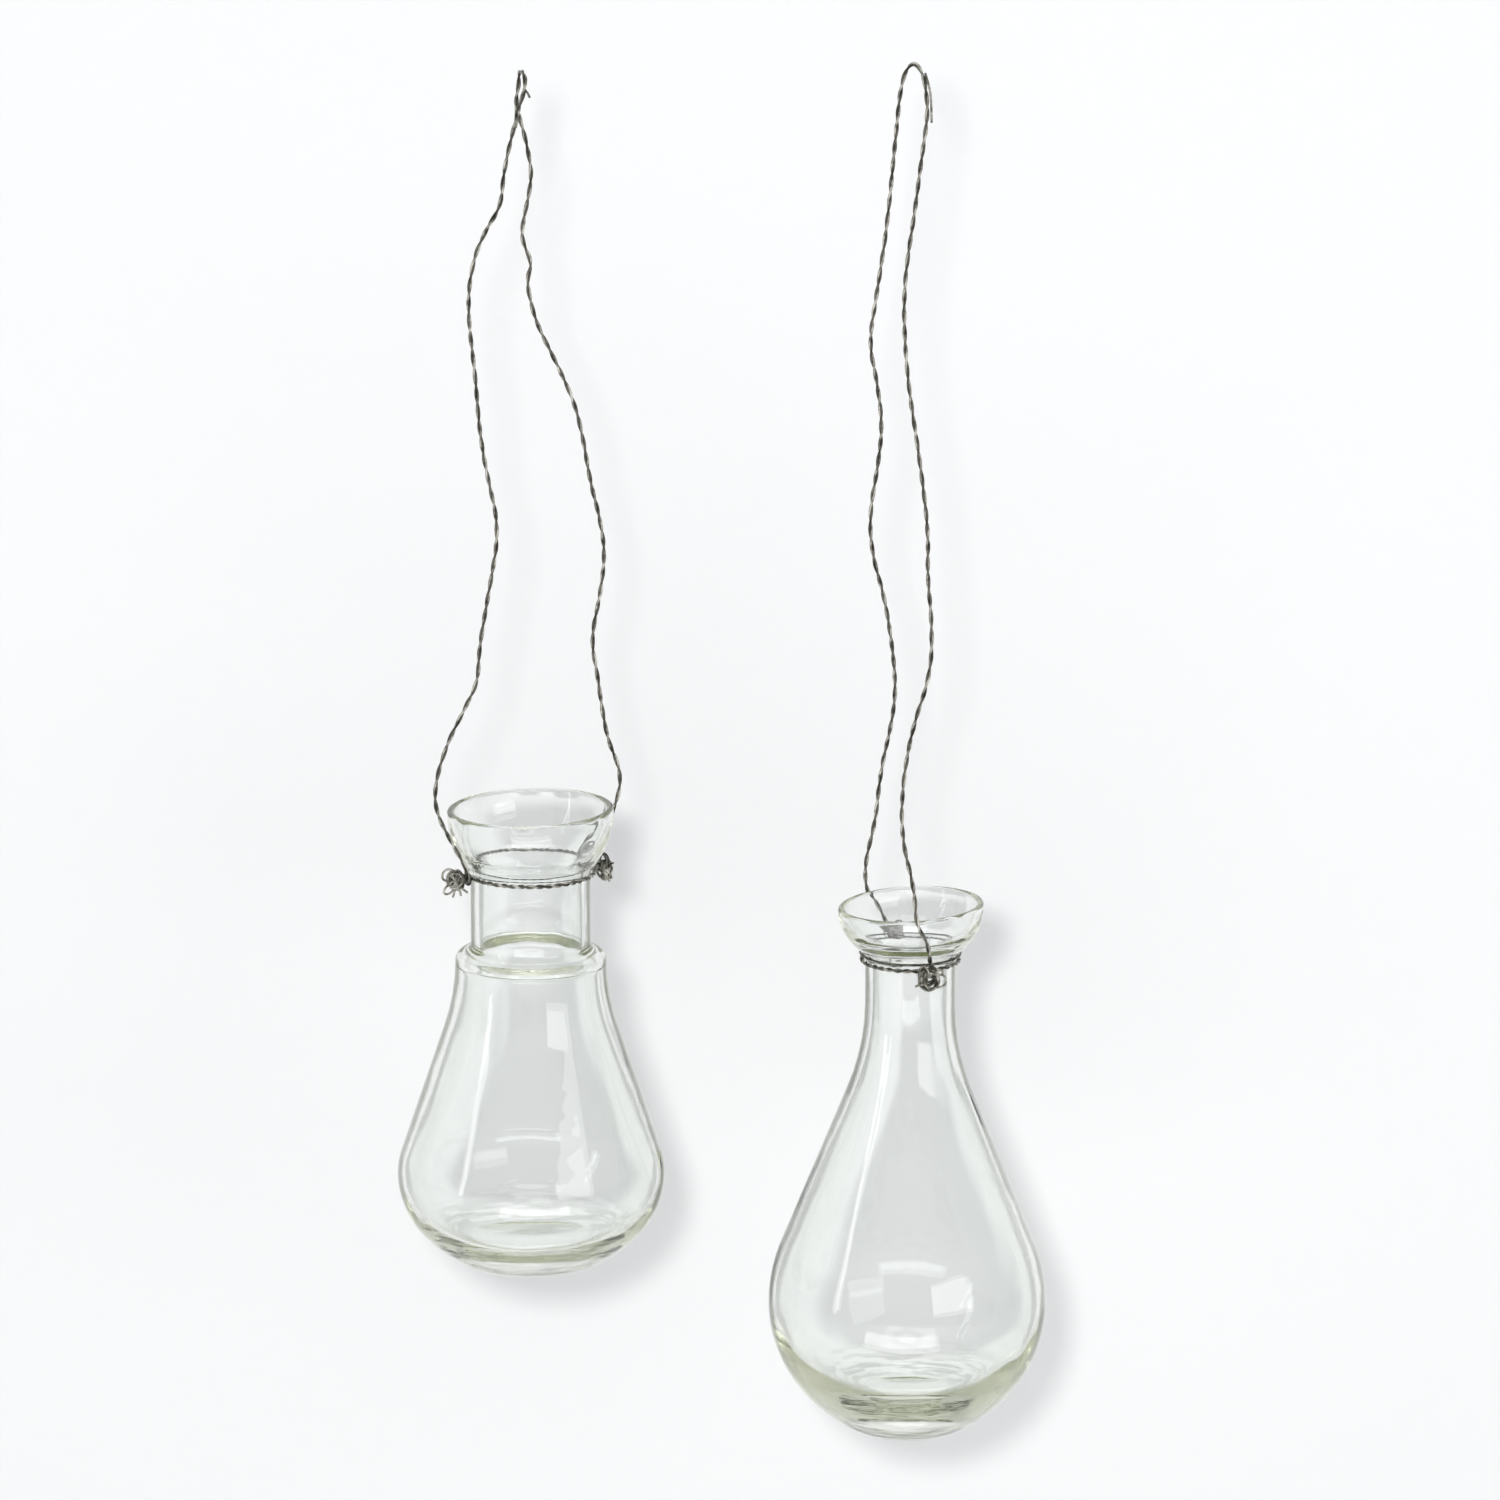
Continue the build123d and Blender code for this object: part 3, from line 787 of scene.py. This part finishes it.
def glass_material():
    """Clear glass: its own faint grey-green tint from the front, painted darker towards edge on as painted
    shade, dark olive lines painted as shade where it turns edge on, dark streaks painted as shade in the
    base, olive in depth.
    """
    material, shader = new_material("clear_blown_glass")
    nodes = material.node_tree.nodes
    links = material.node_tree.links
    shader.inputs["Roughness"].default_value = 0.0
    shader.inputs["IOR"].default_value = 1.5
    shader.inputs["Transmission Weight"].default_value = 1.0
    where = nodes.new("ShaderNodeTexCoord")
    waves = add_noise(nodes, links, where, wave_scale, 2.0)
    streaks = add_noise(nodes, links, where, streak_scale, 2.5)
    edge = nodes.new("ShaderNodeLayerWeight")
    edge.inputs["Blend"].default_value = 0.5
    # The glass's own faint grey-green tint from the front, painted darker towards edge on as painted shade.
    tint_with_painted_edge_shade = add_ramp(nodes, links, edge.outputs["Facing"], (
        (0.00, (0.982, 0.992, 0.990, 1)),
        (0.35, (0.922, 0.938, 0.932, 1)),
        (0.80, (0.900, 0.915, 0.900, 1)),
    ))
    wander = nodes.new("ShaderNodeMath")
    wander.operation = "MULTIPLY_ADD"
    wander.inputs[1].default_value = line_wander
    links.new(waves.outputs["Fac"], wander.inputs[0])
    links.new(edge.outputs["Facing"], wander.inputs[2])
    start = nodes.new("ShaderNodeAttribute")
    start.attribute_name = "start"
    across = nodes.new("ShaderNodeMapRange")
    across.inputs["From Max"].default_value = line_end
    links.new(wander.outputs[0], across.inputs["Value"])
    links.new(start.outputs["Fac"], across.inputs["From Min"])
    # Painted shade: the dark olive line painted into the colour where the glass turns edge on.
    line = add_ramp(nodes, links, across.outputs["Result"], (
        (0.20, (1.0, 1.0, 1.0, 1)),
        (0.40, (0.12, 0.13, 0.095, 1)),
        (0.82, (0.09, 0.095, 0.070, 1)),
        (0.98, (0.45, 0.47, 0.40, 1)),
    ))
    strength = nodes.new("ShaderNodeAttribute")
    strength.attribute_name = "line"
    bottom = nodes.new("ShaderNodeAttribute")
    bottom.attribute_name = "low"
    # Painted shade: dark streaks painted into the base's colour.
    painted_streak_shade = add_ramp(nodes, links, streaks.outputs["Fac"], (
        (0.42, (0.06, 0.07, 0.06, 1)),
        (0.56, (1.0, 1.0, 1.0, 1)),
    ))
    colour = tint_with_painted_edge_shade.outputs["Color"]
    for factor, layer in ((strength, line), (bottom, painted_streak_shade)):
        tint = nodes.new("ShaderNodeMix")
        tint.data_type = "RGBA"
        tint.blend_type = "MULTIPLY"
        links.new(factor.outputs["Fac"], tint.inputs["Factor"])
        links.new(colour, tint.inputs["A"])
        links.new(layer.outputs["Color"], tint.inputs["B"])
        colour = tint.outputs["Result"]
    links.new(colour, shader.inputs["Base Color"])
    fine = nodes.new("ShaderNodeBump")
    fine.inputs["Distance"].default_value = 0.00030
    links.new(bottom.outputs["Fac"], fine.inputs["Strength"])
    links.new(streaks.outputs["Fac"], fine.inputs["Height"])
    broad = nodes.new("ShaderNodeBump")
    broad.inputs["Strength"].default_value = 0.10
    broad.inputs["Distance"].default_value = 0.0006
    links.new(waves.outputs["Fac"], broad.inputs["Height"])
    links.new(fine.outputs["Normal"], broad.inputs["Normal"])
    links.new(broad.outputs["Normal"], shader.inputs["Normal"])
    depth = nodes.new("ShaderNodeVolumeAbsorption")
    depth.inputs["Color"].default_value = (0.66, 0.68, 0.53, 1)
    depth.inputs["Density"].default_value = 21.0
    links.new(depth.outputs["Volume"], nodes["Material Output"].inputs["Volume"])
    return material


def steel_material():
    """Darkened steel with worn patches that are lighter and rougher; one strand of each wire is painted
    lighter as highlight and the other darker as shade.
    """
    material, shader = new_material("darkened_steel_wire")
    nodes = material.node_tree.nodes
    links = material.node_tree.links
    shader.inputs["Metallic"].default_value = 0.9
    where = nodes.new("ShaderNodeTexCoord")
    patches = add_noise(nodes, links, where, patch_scale, 4.0)
    strand_painted_light = nodes.new("ShaderNodeAttribute")
    strand_painted_light.attribute_name = "painted_light"
    # The worn patches' tone times each strand's painted highlight or painted shade.
    wear_and_painted_light = nodes.new("ShaderNodeMath")
    wear_and_painted_light.operation = "MULTIPLY"
    links.new(patches.outputs["Fac"], wear_and_painted_light.inputs[0])
    links.new(strand_painted_light.outputs["Fac"], wear_and_painted_light.inputs[1])
    colour = add_ramp(nodes, links, wear_and_painted_light.outputs[0], (
        (0.30, (0.030, 0.029, 0.023, 1)),
        (0.52, (0.130, 0.126, 0.106, 1)),
        (0.78, (0.460, 0.450, 0.400, 1)),
    ))
    gloss = nodes.new("ShaderNodeMapRange")
    gloss.inputs["To Min"].default_value = 0.22
    gloss.inputs["To Max"].default_value = 0.46
    bump = nodes.new("ShaderNodeBump")
    bump.inputs["Strength"].default_value = 0.25
    bump.inputs["Distance"].default_value = 0.00008
    links.new(patches.outputs["Fac"], gloss.inputs["Value"])
    links.new(patches.outputs["Fac"], bump.inputs["Height"])
    links.new(colour.outputs["Color"], shader.inputs["Base Color"])
    links.new(gloss.outputs["Result"], shader.inputs["Roughness"])
    links.new(bump.outputs["Normal"], shader.inputs["Normal"])
    return material


def seen_rays(nodes, links):
    """1 for rays that the camera, a gloss or a glass sends, and 0 for those that light a surface."""
    path = nodes.new("ShaderNodeLightPath")
    last = path.outputs["Is Camera Ray"]
    for output in ("Is Glossy Ray", "Is Transmission Ray"):
        either = nodes.new("ShaderNodeMath")
        either.operation = "MAXIMUM"
        links.new(last, either.inputs[0])
        links.new(path.outputs[output], either.inputs[1])
        last = either.outputs[0]
    return last


def make_world():
    world = bpy.data.worlds.new("studio")
    bpy.context.scene.world = world
    world.use_nodes = True
    nodes = world.node_tree.nodes
    links = world.node_tree.links
    light = nodes["Background"]
    light.inputs["Color"].default_value = (0.96, 0.98, 1.0, 1)
    light.inputs["Strength"].default_value = 0.75
    white = nodes.new("ShaderNodeBackground")
    white.inputs["Color"].default_value = (1, 1, 1, 1)
    white.inputs["Strength"].default_value = 1.0
    mix = nodes.new("ShaderNodeMixShader")
    links.new(seen_rays(nodes, links), mix.inputs["Fac"])
    links.new(light.outputs["Background"], mix.inputs[1])
    links.new(white.outputs["Background"], mix.inputs[2])
    links.new(mix.outputs["Shader"], nodes["World Output"].inputs["Surface"])


def make_sheet(name, size, place, tilt, material):
    """A flat part of the stage."""
    mesh = bmesh.new()
    bmesh.ops.create_grid(mesh, x_segments=1, y_segments=1, size=size / 2)
    data = bpy.data.meshes.new(name)
    mesh.to_mesh(data)
    mesh.free()
    data.materials.append(material)
    sheet = bpy.data.objects.new(name, data)
    sheet.location = place
    sheet.rotation_euler = (tilt, 0, 0)
    bpy.context.scene.collection.objects.link(sheet)


def make_floor():
    material, shader = new_material("white_floor")
    shader.inputs["Base Color"].default_value = (0.9, 0.9, 0.9, 1)
    shader.inputs["Roughness"].default_value = 0.9
    shader.inputs["Emission Color"].default_value = (1, 1, 1, 1)
    shader.inputs["Emission Strength"].default_value = 0.15
    make_sheet("floor", floor_size, (0, 0, floor_height), 0, material)


def make_backdrop():
    """A white wall that takes the vases' shadow, and that can't be seen from behind."""
    material, shader = new_material("white_wall")
    nodes = material.node_tree.nodes
    links = material.node_tree.links
    shader.inputs["Base Color"].default_value = (0.570, 0.570, 0.570, 1)
    shader.inputs["Roughness"].default_value = 1.0
    shader.inputs["Specular IOR Level"].default_value = 0.0
    shader.inputs["Emission Color"].default_value = (1, 1, 1, 1)
    shader.inputs["Emission Strength"].default_value = 0.04
    sides = nodes.new("ShaderNodeNewGeometry")
    clear = nodes.new("ShaderNodeBsdfTransparent")
    mix = nodes.new("ShaderNodeMixShader")
    links.new(sides.outputs["Backfacing"], mix.inputs["Fac"])
    links.new(shader.outputs["BSDF"], mix.inputs[1])
    links.new(clear.outputs["BSDF"], mix.inputs[2])
    links.new(mix.outputs["Shader"], nodes["Material Output"].inputs["Surface"])
    make_sheet("backdrop", backdrop_size, backdrop_place, pi / 2, material)


def add_lamp(name, place, shape, size, energy):
    """An area lamp that faces the vases and that the camera doesn't see."""
    lamp = bpy.data.lights.new(name, "AREA")
    lamp.shape = shape
    lamp.size, lamp.size_y = size
    lamp.energy = energy
    holder = bpy.data.objects.new(name, lamp)
    holder.location = place
    holder.rotation_euler = (Vector(lamp_target) - Vector(place)).to_track_quat("-Z", "Y").to_euler()
    holder.visible_camera = False
    bpy.context.scene.collection.objects.link(holder)
    return holder


def make_lights():
    """A small lamp that throws the vases' shadow, and that no gloss shows, with softboxes round it."""
    size = (shadow_lamp_size, shadow_lamp_size)
    front = add_lamp("front_lamp", shadow_lamp_place, "DISK", size, shadow_lamp_power)
    front.visible_glossy = False
    front.visible_transmission = False
    for name, place, width, height, radiance in softboxes:
        add_lamp(name, place, "RECTANGLE", (width, height), radiance * pi * width * height)


def make_camera():
    camera = bpy.data.cameras.new("camera")
    camera.sensor_fit = "HORIZONTAL"
    camera.angle = camera_field
    holder = bpy.data.objects.new("camera", camera)
    holder.location = camera_place
    aim = Matrix.Rotation(pi / 2 - camera_pitch, 3, "X") @ Matrix.Rotation(camera_roll, 3, "Z")
    holder.rotation_euler = aim.to_euler()
    bpy.context.scene.collection.objects.link(holder)
    bpy.context.scene.camera = holder


glass = glass_material()
steel = steel_material()
for vase in (flask, drop):
    body = f"{vase.name}_glass"
    make_piece(f"{vase.name}_blown_glass", glass_mesh(vase), glass, "clear_glass", body, body)
    body = f"{vase.name}_collar"
    make_piece(f"{vase.name}_twisted_collar", collar_mesh(vase), steel, "steel_wire", body, body)
for vase, route in ((flask, flask_route()), (drop, drop_route())):
    mesh = hanger_mesh(vase, route)
    make_piece(f"{vase.name}_twisted_hanger", mesh, steel, "steel_wire", "hangers", f"{vase.name}_hanger")
make_piece("drop_tie_turn", tie_mesh(drop), steel, "steel_wire", "drop_collar", "drop_collar_strand")
for name, vase, side, far, seed in (
    ("flask_knot_right", flask, 1, True, 11),
    ("flask_knot_left", flask, -1, False, 12),
    ("drop_knot_front", drop, 1, False, 13),
    ("drop_knot_rear", drop, -1, True, 14),
):
    bends = vase.far_knot_bends if far else vase.knot_bends
    mesh = knot_mesh(vase, side, bends, vase.knot_sags[far], seed)
    make_piece(f"{name}_tangle", mesh, steel, "steel_wire", f"{vase.name}_collar", name)

make_world()
make_floor()
make_backdrop()
make_lights()
make_camera()
bpy.context.scene.view_settings.view_transform = "Standard"
bpy.context.scene.cycles.max_bounces = all_bounces
bpy.context.scene.cycles.glossy_bounces = glass_bounces
bpy.context.scene.cycles.transmission_bounces = glass_bounces
